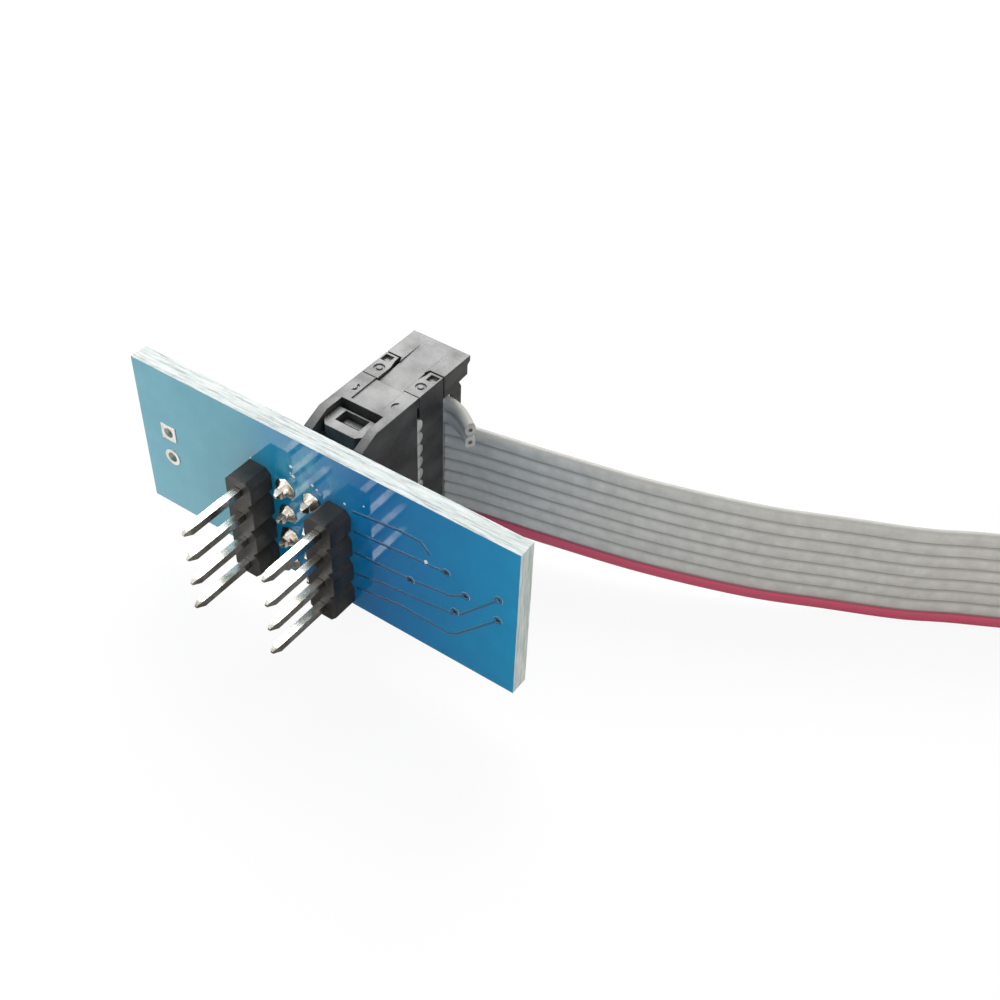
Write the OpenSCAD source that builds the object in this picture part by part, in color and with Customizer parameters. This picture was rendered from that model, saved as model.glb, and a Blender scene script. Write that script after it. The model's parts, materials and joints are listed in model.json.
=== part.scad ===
// SOIC-8 test clip on a flat ribbon cable, plugged to its DIP-8 adapter board.
// The board stands on edge behind its pins; the cable leaves sideways and ends in the spring clip.
// Millimetres, +Z up. The origin is the middle of the cable socket's lower end, on the table.

/* [Adapter board] */
// Length of the adapter board
board_len = 36; // [32:0.5:48]
// Height of the board, which stands on its long edge
board_h = 14.3; // [14.3:0.1:20]
// Thickness of the board
board_t = 1.6; // [1:0.1:2.4]
// From the board's left end to its left row of pins
row_from_left = 12.4; // [9:0.1:14]
// How far the cable's plug lies right of the middle between the two rows
plug_shift = 0.09; // [-0.6:0.01:0.6]
// From the board's top edge to the first pins
first_pin_drop = 5.5; // [3:0.1:8]
// From the board's left end to the two plated holes
pad_from_left = 2.9; // [2:0.1:4]
// Bore of the two plated holes
pad_bore = 0.9; // [0.7:0.05:1.1]
// Width of a plated pad
pad_w = 1.5; // [1.4:0.05:2]

/* [Pin headers] */
// Spacing of pins in a row
pitch = 2.54; // [2.5:0.01:2.6]
// Spacing of the two DIP rows
dip_span = 7.62; // [7.2:0.02:8.4]
// Side of a square pin
pin_sq = 0.64; // [0.5:0.01:0.7]
// Height of a DIP row's moulding over the board
header_h = 2.3; // [1.5:0.1:3]
// Height of the plug's moulding over the board
plug_h = 2.5; // [1.5:0.1:3]
// Length of a DIP pin in front of its header
dip_pin_len = 5.8; // [4:0.1:8]
// Length of a pin past the far side of the board
pin_tail = 1.2; // [0.8:0.1:2]
// Length of a plug pin inside the cable socket
plug_pin_len = 4.6; // [3.5:0.1:5]

/* [Cable sockets] */
// Width of a socket across its two contact rows
socket_w = 5.6; // [5.4:0.1:7]
// From an end pin to the end of the socket
socket_end = 3.42; // [3.3:0.02:4.2]
// Depth of a socket's body, from its mouth to the ribbon's seat
body_depth = 6.75; // [6.5:0.05:8]
// Thickness of a socket's cover
cover_t = 2.5; // [2.2:0.1:3]
// Depth of the strain relief over the ribbon
relief_depth = 2.75; // [2.4:0.05:3.5]

/* [Ribbon] */
// Thickness of the ribbon
ribbon_t = 0.9; // [0.7:0.05:1]
// Conductors in the adapter end's ribbon, of which the clip uses eight
wires_cut = 2; // [1:1:2]
// Length of the two cut conductors beside the socket
stub_len = 3.2; // [2:0.1:6]

/* [Test clip] */
// From the socket's mouth to the clip's hinges
hinge_drop = 12.5; // [12:0.5:16]
// From the clip's middle to each hinge
hinge_out = 4.4; // [4.2:0.1:5.2]
// Diameter of a hinge pin
hinge_pin_d = 1.5; // [1.2:0.1:1.8]
// From the hinges down to the tips of the jaws
jaw_reach = 18.5; // [16:0.5:24]
// Spread of the finger pads from the clip's middle
pad_out = 10.2; // [9.6:0.1:13]
// Spacing of the contacts at the tips of the jaws
tip_pitch = 1.27; // [1:0.01:1.27]
// Width of the jaws' noses along the chip
nose_w = 7.2; // [6.4:0.1:9]
// Outside diameter of the springs
spring_d = 4; // [3.4:0.1:4.4]
// Wire diameter of the springs
spring_wire = 0.45; // [0.35:0.05:0.6]

/* [Hidden] */
$fn = 48;

black = [0.09, 0.09, 0.1];
silver = [0.8, 0.8, 0.78];

adapter_rows = 5;      // pairs of contacts in the adapter's socket
board_rows = 4;        // pins in each header row on the board, and pairs in the clip's socket
mould_gap = 0.02;      // a moulding's hole round a square pin, each side
header_trim = 0.12;    // snapped off each end of a header
wire_pitch = pitch / 2;    // each pair of contacts takes two conductors
seat_gap = 0.05;       // a socket's mouth off what it is plugged on
far = 100;             // longer than any cut

// The adapter's socket lies in the middle of everything, its mouth towards -Y.
socket_depth = body_depth + ribbon_t + cover_t + ribbon_t + relief_depth;
mouth_y = -socket_depth / 2;
seat_y = mouth_y + body_depth;             // the ribbon's first pass, over the contacts
cover_y = seat_y + ribbon_t;
wrap_y = cover_y + cover_t;                // the ribbon's second pass, behind the cover
relief_y = wrap_y + ribbon_t;
function socket_len(rows) = (rows - 1) * pitch + 2 * socket_end;
socket_l = socket_len(adapter_rows);
clip_l = socket_len(board_rows);

// The board, from the socket it is plugged into
plug_from_left = row_from_left + dip_span / 2 + plug_shift;
board_back = mouth_y - seat_gap - plug_h;
board_front = board_back - board_t;
board_left = -plug_from_left;
top_pin_z = socket_l / 2 + (adapter_rows - 1) / 2 * pitch;
board_top = top_pin_z + first_pin_drop;
row_left_x = board_left + row_from_left;
row_right_x = row_left_x + dip_span;
pin_drill = 1.02;      // drilled holes for square pins
pads_z = [board_top - 6.2, board_top - 6.2 - pitch];

// Ribbon: two passes through the socket, ten conductors wide
wires = 2 * adapter_rows;
clip_wires = 2 * board_rows;
ribbon_side = 0.05;    // ribbon's edge clear of the latches
function ribbon_w(n) = n * wire_pitch;
ribbon_foot = (socket_l - ribbon_w(wires)) / 2;
stub_foot = ribbon_foot + ribbon_w(wires - wires_cut);
exit_x = socket_w / 2;
exit_y = wrap_y + ribbon_t / 2;

// The clip's socket is the same socket, turned over so that its ribbon leaves to the left.
clip_x = 90;
clip_y = -24;
clip_foot = (clip_l - ribbon_w(clip_wires)) / 2;

// Route of the free ribbon's middle: x, y and the height of its lower edge
route = [
    [5, 4.4, 2.1], [8.5, 5.2, 2], [12, 6.1, 1.8], [19.7, 8.5, 1.2], [27.6, 11.7, 0.6], [33.5, 14.7, 0.3],
    [39, 17.5, 0.1], [44, 20.4, 0.1], [56, 26.5, 0.1], [69, 30.5, 0.1], [82, 31, 0.1], [92, 26.5, 0.1],
    [96, 17.5, 0.1], [92, 8.5, 0.1], [82, 4, 0.1], [72, 2, 0.1], [64, -2.5, 0.2], [62, -10, 0.5],
    [66, -17, 1.1], [74, -20, 1.7], [81, -20.3, 2.1]];
route_ends = [[exit_x, exit_y, ribbon_foot], [clip_x - exit_x, clip_y + exit_y, clip_foot]];
steps_per_span = 3;

// Points of a smooth curve through a list of points
function spline_point(a, b, c, d, t) =
    0.5 * (2 * b + (c - a) * t + (2 * a - 5 * b + 4 * c - d) * t * t + (3 * b - a - 3 * c + d) * t * t * t);
function smooth(p, n) = [
    for (i = [0 : len(p) - 2]) for (k = [0 : n - 1])
        spline_point(p[max(i - 1, 0)], p[i], p[i + 1], p[min(i + 2, len(p) - 1)], k / n),
    p[len(p) - 1]];

// A closed tube from rings of points that all have the same number of corners
module skin(rings) {
    n = len(rings[0]);
    last = len(rings) - 1;
    polyhedron(
        points = [for (r = rings) for (p = r) p],
        faces = concat(
            [[for (k = [n - 1 : -1 : 0]) k]],
            [for (i = [0 : last - 1]) for (k = [0 : n - 1])
                [i * n + k, i * n + (k + 1) % n, (i + 1) * n + (k + 1) % n, (i + 1) * n + k]],
            [[for (k = [0 : n - 1]) last * n + k]]),
        convexity = 6);
}

// A block from one corner to the other
module block(a, b) {
    translate(a) cube(b - a);
}

// Its children at both ends of a socket of a given length
module at_both_ends(length) {
    children();
    translate([0, 0, length]) mirror([0, 0, 1]) children();
}

// Its children at each pin of a row that runs up from a given height
module up_a_row(n, z) {
    for (i = [0 : n - 1]) translate([0, 0, z + i * pitch]) children();
}

// A square pin along Y from a to b, with pointed ends of the given lengths
module square_pin(a, b, point_a = 0, point_b = 0) {
    half = pin_sq / 2;
    tip = half * 0.35;
    ring = function (y, s) [[s, y, s], [s, y, -s], [-s, y, -s], [-s, y, s]];
    skin(concat(
        point_a > 0 ? [ring(a, tip)] : [],
        [ring(a + point_a, half), ring(b - point_b, half)],
        point_b > 0 ? [ring(b, tip)] : []));
}

// ---------------------------------------------------------------- adapter board

module bores_through_board(d) {
    rotate([90, 0, 0]) cylinder(d = d, h = far, center = true);
}

module adapter_board() {
    color([0.1, 0.5, 0.7]) difference() {
        block([board_left, board_front, board_top - board_h],
              [board_left + board_len, board_back, board_top]);
        for (x = [row_left_x, row_right_x, -pitch / 2, pitch / 2])
            translate([x, 0, 0]) up_a_row(board_rows, top_pin_z - (board_rows - 1) * pitch)
                bores_through_board(pin_drill);
        for (z = pads_z) translate([board_left + pad_from_left, 0, z])
            bores_through_board(pad_bore);
    }
}

// Pads on both faces round each hole: the upper pair square, the lower pair round
module plated_pads() {
    foil = 0.06;
    color(silver) for (pad = [0, 1], y = [board_front, board_back + foil])
        translate([board_left + pad_from_left, y, pads_z[pad]]) difference() {
            rotate([90, 0, 0])
                if (pad == 0) translate([-pad_w / 2, -pad_w / 2, 0]) cube([pad_w, pad_w, foil]);
                else cylinder(d = pad_w, h = foil);
            bores_through_board(pad_bore);
        }
}

// Outline of a break-away header: a chain of eight-sided cells, one per pin
module header_outline(n, width) {
    nip = 0.5;
    half = pitch / 2;
    side = [for (i = [0 : n - 1]) let (low = i * pitch - half + (i == 0 ? header_trim : 0),
        high = i * pitch + half - (i == n - 1 ? header_trim : 0)) each [
        [width / 2 - nip, low], [width / 2 - 0.02, low + nip], [width / 2 - 0.02, high - nip],
        [width / 2 - nip, high]]];
    other = [for (i = [len(side) - 1 : -1 : 0]) [-side[i][0], side[i][1]]];
    polygon(concat(side, other));
}

// Moulding of a header with its lowest pin at the origin, its foot on y = 0 and its face at -Y
module header(n, columns, height) {
    difference() {
        rotate([90, 0, 0]) linear_extrude(height = height) header_outline(n, columns * pitch);
        for (c = [0 : columns - 1]) translate([(c - (columns - 1) / 2) * pitch, 0, 0]) up_a_row(n, 0)
            cube([pin_sq + 2 * mould_gap, far, pin_sq + 2 * mould_gap], center = true);
    }
}

low_pin_z = top_pin_z - (board_rows - 1) * pitch;

module header_left() {
    color(black) translate([row_left_x, board_front, low_pin_z]) header(board_rows, 1, header_h);
}

module header_right() {
    color(black) translate([row_right_x, board_front, low_pin_z]) header(board_rows, 1, header_h);
}

module dip_row(x) {
    color(silver) translate([x, 0, 0]) up_a_row(board_rows, low_pin_z)
        square_pin(board_front - header_h - dip_pin_len, board_back + pin_tail, 0.7, 0.4);
}

module dip_pins_left() { dip_row(row_left_x); }

module dip_pins_right() { dip_row(row_right_x); }

module plug_header() {
    color(black) translate([0, board_back + plug_h, low_pin_z]) header(board_rows, 2, plug_h);
}

module plug_pins() {
    color(silver) for (x = [-pitch / 2, pitch / 2]) translate([x, 0, 0]) up_a_row(board_rows, low_pin_z)
        square_pin(board_front - pin_tail, board_back + plug_h + plug_pin_len, 0.35, 0.7);
}

// A cone of solder on y = 0, pointing to -Y, with the pin's square hole
module solder_cone() {
    difference() {
        rotate([90, 0, 0]) {
            cylinder(d = 1.7, h = 0.12);
            translate([0, 0, 0.12]) cylinder(d1 = 1.6, d2 = 1.0, h = 0.5);
        }
        cube([pin_sq, far, pin_sq], center = true);
    }
}

module plug_solder() {
    color(silver) for (x = [-pitch / 2, pitch / 2]) translate([x, board_front, 0])
        up_a_row(board_rows, low_pin_z) solder_cone();
}

module dip_solder() {
    color(silver) for (x = [row_left_x, row_right_x]) translate([x, board_back, 0]) mirror([0, 1, 0])
        up_a_row(board_rows, low_pin_z) solder_cone();
}

// ---------------------------------------------------------------- cable sockets
// A socket stands on z = 0 with its mouth towards -Y and its middle on the Z axis.

end_in = 1.8;          // depth of the recess in each end
flange_t = 0.8;        // side walls of the recess
bridge_y = seat_y - 3.15;   // the bridge over the latch leg reaches from here to the seat
bridge_t = 0.9;
sill = 0.25;           // the bridge stands this far above the ribbon's seat
leg_t = 0.7;
leg_gap = 0.08;        // the latch leg's clearance in its slot
leg_half = 1.92;    // half a leg's width, inside the recess's side walls
leg_tip_y = mouth_y + 0.8;
window_half = 1.15;
tongue_half = 1.22;    // half the strain relief's tongue, between the cover's posts
window_y = [mouth_y + 1.7, mouth_y + 3];
cavity = [1.5, 1.1];   // room round a contact, across and along the socket
fork_w = 1.1;
fork_t = 0.3;
fork_reach = 1.25;     // how far the fork stands past the ribbon's seat
fork_gap = 0.02;

// Each contact's fork is half a conductor off its pin, to opposite sides in the two columns.
function fork_shift(column) = (column - 0.5) * 2 * wire_pitch / 2;

module at_contacts(rows) {
    for (column = [0, 1]) translate([(column - 0.5) * pitch, 0, 0]) up_a_row(rows, socket_end) {
        $column = column;
        children();
    }
}

module socket_end_walls(length) {
    lead_in = [1.8, 0.8];
    half = socket_w / 2;
    panel = 1.4;
    // Bridge over the latch leg, level with the end face; its middle lies a little lower
    difference() {
        block([-half, bridge_y, 0], [half, seat_y + sill, bridge_t]);
        block([-panel, bridge_y + 0.35, -1], [panel, seat_y + sill + 1, 0.12]);
        for (x = [-1, 1]) ejector_mark(x * (half + panel) / 2, (bridge_y + seat_y) / 2);
    }
    for (side = [-1, 1]) translate([side * (half - flange_t / 2), 0, 0]) {
        block([-flange_t / 2, bridge_y, 0], [flange_t / 2, seat_y, end_in + 0.1]);
        rotate([90, 0, 90]) linear_extrude(height = flange_t, center = true)
            polygon([[mouth_y, lead_in[1]], [mouth_y + lead_in[0], 0], [bridge_y + 0.1, 0],
                     [bridge_y + 0.1, end_in + 0.1], [mouth_y, end_in + 0.1]]);
    }
    // The wedge that the leg's window snaps over
    rotate([90, 0, 90]) linear_extrude(height = 2 * window_half - 0.4, center = true)
        polygon([[window_y[0] + 0.15, end_in + 0.1], [window_y[1] - 0.1, end_in + 0.1],
                 [window_y[1] - 0.1, bridge_t + 0.25], [window_y[0] + 0.6, bridge_t + 0.25]]);
}

module socket_body_shape(rows) {
    length = socket_len(rows);
    half = socket_w / 2;
    key_half = 1.9;
    difference() {
        union() {
            block([-half, mouth_y, end_in], [half, seat_y, length - end_in]);
            at_both_ends(length) socket_end_walls(length);
            // Polarising key, on the side away from the ribbon's exit
            block([-half - 0.9, mouth_y, length / 2 - key_half], [-half, mouth_y + 5, length / 2 + key_half]);
        }
        at_contacts(rows) {
            cube([pin_sq + 0.3, far, pin_sq + 0.3], center = true);
            block([-cavity[0] / 2, mouth_y + 0.9, -cavity[1] / 2], [cavity[0] / 2, seat_y + 1, cavity[1] / 2]);
            translate([0, 0, fork_shift($column)])
                block([-fork_t / 2 - fork_gap, seat_y - 2.4, -fork_w / 2 - fork_gap],
                      [fork_t / 2 + fork_gap, seat_y + 1, fork_w / 2 + fork_gap]);
        }
    }
}

// A forked contact: two leaves that grip the pin, and a fork that cuts into its conductor
module contact() {
    leaf_in = pin_sq / 2 + 0.02;
    leaf_t = 0.2;
    base_y = seat_y - 1.6;
    for (side = [-1, 1]) translate([side * (leaf_in + leaf_t / 2), 0, 0])
        block([-leaf_t / 2, mouth_y + 1.1, -0.4], [leaf_t / 2, base_y, 0.4]);
    block([-leaf_in - leaf_t, base_y, -0.5], [leaf_in + leaf_t, base_y + 0.3, 0.5]);
    translate([0, 0, fork_shift($column)]) rotate([90, 0, 90])
        linear_extrude(height = fork_t, center = true) difference() {
            polygon([[base_y, -fork_w / 2], [seat_y + fork_reach - 0.4, -fork_w / 2],
                     [seat_y + fork_reach, -fork_w / 2 + 0.3], [seat_y + fork_reach, fork_w / 2 - 0.3],
                     [seat_y + fork_reach - 0.4, fork_w / 2], [base_y, fork_w / 2]]);
            polygon([[seat_y - 0.3, -0.12], [seat_y + fork_reach - 0.3, -0.12], [seat_y + far, -far / 4],
                     [seat_y + far, far / 4], [seat_y + fork_reach - 0.3, 0.12], [seat_y - 0.3, 0.12]]);
        }
}

// Slots for the forks in whatever they pass through
module fork_slots(rows) {
    at_contacts(rows) translate([0, 0, fork_shift($column)])
        block([-fork_t / 2 - fork_gap, seat_y - 0.1, -fork_w / 2 - fork_gap],
              [fork_t / 2 + fork_gap, seat_y + fork_reach + 0.1, fork_w / 2 + fork_gap]);
}

// The ribbon folds round the cover inside the socket's width.
fold_r = cover_t / 2;
fold_x = -socket_w / 2 - 0.1 + fold_r + ribbon_t;
fold_y = cover_y + fold_r;

// Pressed on the contacts, the first pass is flat below and a row of half-round lobes above.
lobe_h = 0.69;
lobe_valley = 0.23;
lobe_r = (pow(wire_pitch / 2, 2) + pow(lobe_h - lobe_valley, 2)) / 2 / (lobe_h - lobe_valley);

module lobes(n, foot, extra) {
    half = socket_w / 2;
    for (i = [0 : n - 1]) translate([(fold_x + half) / 2, seat_y + lobe_h - lobe_r, foot + (i + 0.5) * wire_pitch])
        rotate([0, 90, 0]) cylinder(r = lobe_r + extra, h = half - fold_x + 2 * extra, center = true);
}

// A shallow ring left by an ejector pin, on the end face
module ejector_mark(x, y) {
    translate([x, y, 0]) difference() {
        cylinder(d = 0.9, h = 0.2, center = true);
        cylinder(d = 0.5, h = 1, center = true);
    }
}

module cover_shape(rows) {
    length = socket_len(rows);
    half = socket_w / 2;
    ribbon_z = (length - ribbon_w(2 * rows)) / 2;
    foot = ribbon_z - ribbon_side;
    difference() {
        union() {
            // Over the conductors, with a round side for the fold
            block([fold_x, seat_y + lobe_valley + 0.03, foot - 0.1], [half, wrap_y, length - foot + 0.1]);
            translate([fold_x, fold_y, foot - 0.1])
                cylinder(r = fold_r, h = length - 2 * foot + 0.2);
            at_both_ends(length) {
                block([-half, seat_y + sill + leg_gap, bridge_t + leg_gap], [half, wrap_y, foot]);
                for (side = [0, 1]) mirror([side, 0, 0])
                    linear_extrude(height = bridge_t + leg_gap + 0.1)
                        polygon([[half, seat_y + sill + leg_gap], [half, wrap_y], [tongue_half + 0.35, wrap_y],
                                 [tongue_half + 0.3, wrap_y - 0.6], [tongue_half + 0.08, wrap_y - 1.4],
                                 [tongue_half + 0.08, seat_y + sill + leg_gap]]);
                latch_leg();
            }
        }
        fork_slots(rows);
        lobes(2 * rows, ribbon_z, 0.01);
        at_both_ends(length) {
            for (x = [-2.05, 2.05]) ejector_mark(x, cover_y + 0.6);
            for (side = [-1, 1]) translate([side * 2.25, wrap_y - 0.6, 0])
                cube([0.8, 0.8, 0.5], center = true);
        }
    }
}

// The latch leg runs under the bridge into the end's recess; its thicker frame snaps over the wedge.
module latch_leg() {
    corner = 0.5;
    frame_rise = 0.45;
    neck_y = window_y[1] + 0.15;
    translate([0, 0, bridge_t + leg_gap]) linear_extrude(height = leg_t) difference() {
        translate([-leg_half, neck_y]) square([2 * leg_half, cover_y + 0.4 - neck_y]);
        leg_window();
    }
    translate([0, 0, bridge_t + leg_gap - frame_rise]) linear_extrude(height = leg_t + frame_rise) difference() {
        polygon([[-leg_half, leg_tip_y + corner], [-leg_half + corner, leg_tip_y],
                 [leg_half - corner, leg_tip_y], [leg_half, leg_tip_y + corner],
                 [leg_half, neck_y], [-leg_half, neck_y]]);
        leg_window();
    }
}

module leg_window() {
    translate([-window_half, window_y[0]]) square([2 * window_half, window_y[1] - window_y[0]]);
}

// The strain relief spans the ribbon's second pass; a tongue at each end latches between the posts.
module relief_shape(rows) {
    length = socket_len(rows);
    half = socket_w / 2;
    rear = relief_y + relief_depth;
    waist = rear - 1.2;
    foot = (length - ribbon_w(2 * rows)) / 2;
    seat = wrap_y + 0.16;
    bar_half = [half - 0.3, half - 1.3];
    ramp = [relief_y + 1.6, 0.28];     // the tongue's face slopes in from here, to this depth
    at_both_ends(length) difference() {
        relief_end(foot, seat, rear, waist);
        rotate([90, 0, 90]) linear_extrude(height = 2 * tongue_half, center = true)
            polygon([[ramp[0], -1], [ramp[0], 0], [seat_y, ramp[1]], [seat_y, -1]]);
    }
    // Bar across the ribbon, rounded where the ribbon leaves
    lip = 0.8;
    translate([0, 0, foot]) linear_extrude(height = length - 2 * foot) difference() {
        polygon([[-bar_half[0], relief_y], [bar_half[1], relief_y], [bar_half[1], waist], [-bar_half[0], waist]]);
        translate([bar_half[1], relief_y]) difference() {
            square(2 * lip, center = true);
            translate([-lip, lip]) circle(r = lip);
        }
    }
}

// Clamped ribbon: over the contacts, round the cover's folded side and back to the exit
module clamped_ribbon_shape(rows) {
    n = 2 * rows;
    length = socket_len(rows);
    half = socket_w / 2;
    foot = (length - ribbon_w(n)) / 2;
    difference() {
        union() {
            intersection() {
                lobes(n, foot, 0);
                block([fold_x - 0.01, seat_y, foot], [half, seat_y + ribbon_t, length - foot]);
            }
            clamped_pass(n, foot);
        }
        fork_slots(rows);
    }
}

// The fold round the cover's side and the second pass behind it
module clamped_pass(n, foot) {
    half = socket_w / 2;
    translate([0, 0, foot]) linear_extrude(height = ribbon_w(n)) {
        translate([fold_x, wrap_y]) square([half - fold_x, ribbon_t]);
        translate([fold_x, fold_y]) intersection() {
            difference() {
                circle(r = fold_r + ribbon_t);
                circle(r = fold_r);
            }
            translate([-far, -far / 2]) square(far);
        }
    }
}

// One end of a strain relief: a block with a hollow back, and its tongue
module relief_end(foot, seat, rear, waist) {
    rotate([90, 0, 90]) linear_extrude(height = socket_w, center = true)
        polygon([[seat, 0], [rear, 0], [rear, 0.5], [rear - 0.35, 0.75], [rear - 0.35, 1.65],
                 [waist - 0.3, 1.75], [waist, 2.3], [waist, foot + 2.05],
                 [relief_y + 0.35, foot + 0.35], [relief_y, foot - ribbon_side], [seat, foot - ribbon_side]]);
    linear_extrude(height = bridge_t)
        polygon([[-tongue_half - 0.2, seat + 0.05], [-tongue_half, seat - 0.5], [-tongue_half, seat_y + sill + 0.1],
                 [tongue_half, seat_y + sill + 0.1], [tongue_half, seat - 0.5], [tongue_half + 0.2, seat + 0.05]]);
}

module socket_body() { color(black) socket_body_shape(adapter_rows); }

module socket_contacts() { color([0.85, 0.75, 0.4]) at_contacts(adapter_rows) contact(); }

module socket_cover() { color(black) cover_shape(adapter_rows); }

module strain_relief() { color(black) relief_shape(adapter_rows); }

module ribbon_clamped() { color([0.7, 0.7, 0.66]) clamped_ribbon_shape(adapter_rows); }

// ---------------------------------------------------------------- free ribbon

// An upright band along points [x, y, foot], with chamfered edges
module band(points, height) {
    last = len(points) - 1;
    half = ribbon_t / 2;
    bevel = 0.25;
    dir = function (i) let (a = points[max(i - 1, 0)], b = points[min(i + 1, last)],
        d = [b[0] - a[0], b[1] - a[1]]) (i == 0 || i == last) ? [1, 0] : d / norm(d);
    edge = [[-half, bevel], [-half, height - bevel], [-half + bevel, height], [half - bevel, height],
            [half, height - bevel], [half, bevel], [half - bevel, 0], [-half + bevel, 0]];
    skin([for (i = [0 : last]) let (t = dir(i), p = points[i])
        [for (e = edge) [p[0] - t[1] * e[0], p[1] + t[0] * e[0], p[2] + e[1]]]]);
}

module ribbon() {
    color([0.7, 0.7, 0.66])
        band(smooth(concat([route_ends[0]], route, [route_ends[1]]), steps_per_span), ribbon_w(clip_wires));
}

// The cut conductors leave with the ribbon and bend towards the board.
module ribbon_stub() {
    bend = [for (i = [0 : 5]) let (s = i / 5)
        [exit_x + stub_len * s, exit_y - 1.1 * s * s, stub_foot + 0.02 - 0.5 * s * s]];
    color([0.75, 0.75, 0.7]) band(bend, ribbon_w(wires_cut) - 0.02);
}

// ---------------------------------------------------------------- clip end of the cable

module at_clip_socket() {
    translate([clip_x, clip_y, 0]) mirror([1, 0, 0]) children();
}

module clip_socket_body() { color(black) at_clip_socket() socket_body_shape(board_rows); }

module clip_socket_contacts() { color([0.85, 0.75, 0.4]) at_clip_socket() at_contacts(board_rows) contact(); }

module clip_socket_cover() { color(black) at_clip_socket() cover_shape(board_rows); }

module clip_strain_relief() { color(black) at_clip_socket() relief_shape(board_rows); }

module clip_ribbon_clamped() {
    color([0.7, 0.7, 0.66]) at_clip_socket() clamped_ribbon_shape(board_rows);
}

// ---------------------------------------------------------------- test clip
// The clip hangs from its socket's mouth towards -Y. Its frame: x across the jaws from the middle,
// y from the mouth, z up from the table. The two jaws mirror each other.

block_in = 2.1;        // the block stays this far inside the jaws' cheeks
block_half = 3.3;
block_foot = hinge_drop + 2.2;
boss_r = hinge_pin_d / 2 + 0.9;
knuckle_gap = 0.15;    // along the hinge, between the block and a jaw's cheek
hinge_clear = 0.04;    // radial running clearance of a hinge pin
spring_y = 5;          // springs sit this far below the mouth
spring_seat = 0.8;     // depth of the block's spring pockets
jaw_spring_seat = 1;   // depth of a jaw's spring pocket
pad_wall = 1.9;        // thickness of a finger pad
pad_in = pad_out - pad_wall;
spring_room = pad_in - 0.65 + jaw_spring_seat - block_half + spring_seat;
tip_y = hinge_drop + jaw_reach;
blade = [0.3, 0.45];   // contact blade's thickness and width

module at_clip() {
    translate([clip_x, clip_y + mouth_y - seat_gap, 0]) children();
}

module on_left() {
    at_clip() mirror([1, 0, 0]) children();
}

module on_right() {
    at_clip() children();
}

module hinge_axis(side) {
    translate([side * hinge_out, -hinge_drop, 0]) children();
}

module clip_block() {
    foot = block_in;
    head = clip_l - block_in;
    color(black) at_clip() difference() {
        union() {
            block([-block_half, -block_foot, foot], [block_half, 0, head]);
            for (side = [-1, 1]) hinge_axis(side) {
                translate([0, 0, foot]) cylinder(r = boss_r, h = head - foot);
                block([min(0, -side * 2), -boss_r, foot], [max(0, -side * 2), boss_r, head]);
            }
        }
        for (side = [-1, 1]) {
            hinge_axis(side) translate([0, 0, -1]) cylinder(d = hinge_pin_d, h = clip_l + 2);
            translate([side * (block_half - spring_seat), -spring_y, clip_l / 2]) rotate([0, side * 90, 0])
                cylinder(d = spring_d + 0.4, h = far);
        }
        for (x = [-pitch / 2, pitch / 2]) translate([x, 0, 0]) up_a_row(board_rows, socket_end)
            cube([pin_sq + 2 * mould_gap, far, pin_sq + 2 * mould_gap], center = true);
        // Throat under the block, where the contacts spread to the jaws
        translate([0, 0, foot + 0.7]) linear_extrude(height = head - foot - 1.4)
            polygon([[-block_half + 0.6, -block_foot - 1], [block_half - 0.6, -block_foot - 1],
                     [block_half - 1.1, -block_foot + 1.6], [-block_half + 1.1, -block_foot + 1.6]]);
    }
}

module clip_pins() {
    color([0.9, 0.78, 0.4]) at_clip() for (x = [-pitch / 2, pitch / 2]) translate([x, 0, 0])
        up_a_row(board_rows, socket_end) square_pin(-block_foot + 0.9, seat_gap + plug_pin_len, 0, 0.7);
}

// Middle line of a contact blade in the right jaw: distance out and distance down from the mouth
blade_line = [
    [pitch / 2 + 0.1, block_foot - 0.4], [2.2, block_foot + 1.6], [2.3, block_foot + 4.5],
    [1.3, tip_y - 5], [0.72, tip_y - 2.2], [0.42, tip_y - 0.25]];
blade_seat = 0.04;     // play between a blade and its jaw

// Side outline of the right jaw: finger pad, neck outside the hinge, and nose
module jaw_side() {
    outer = concat(
        [[0.7, tip_y + 0.1], [1.8, tip_y]],
        smooth([
            [2.5, tip_y - 0.8], [4.4, tip_y - 6], [6.6, hinge_drop + 5.5],
            [hinge_out + boss_r + 2, hinge_drop], [pad_out - 1.5, hinge_drop - 4],
            [pad_out, spring_y + 2], [pad_out + 0.4, 3], [pad_out + 0.1, 1.2], [pad_out - 0.6, 0.5]], 4),
        [[pad_out - 1.2, 0.4]]);
    inner = [
        [pad_in, 1], [pad_in - 0.2, 3], [pad_in - 1.1, spring_y + 3.5],
        [hinge_out + boss_r + 0.35, hinge_drop - 2.2], [hinge_out + boss_r + 0.35, hinge_drop + 1.6],
        [4.2, block_foot + 1.2]];
    wall = [for (i = [2 : len(blade_line) - 1]) blade_line[i] + [blade[0] / 2 + blade_seat, 0]];
    polygon([for (p = concat(outer, inner, wall)) [p[0], -p[1]]]);
}

// Front outline of a jaw: full width at the pads, narrow at the nose
module jaw_front() {
    mid = clip_l / 2;
    half = nose_w / 2;
    polygon([[1, 0], [1, clip_l], [-hinge_drop - 3.5, clip_l], [-tip_y + 6, mid + half],
             [-tip_y - 1, mid + half], [-tip_y - 1, mid - half], [-tip_y + 6, mid - half],
             [-hinge_drop - 3.5, 0]]);
}

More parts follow.
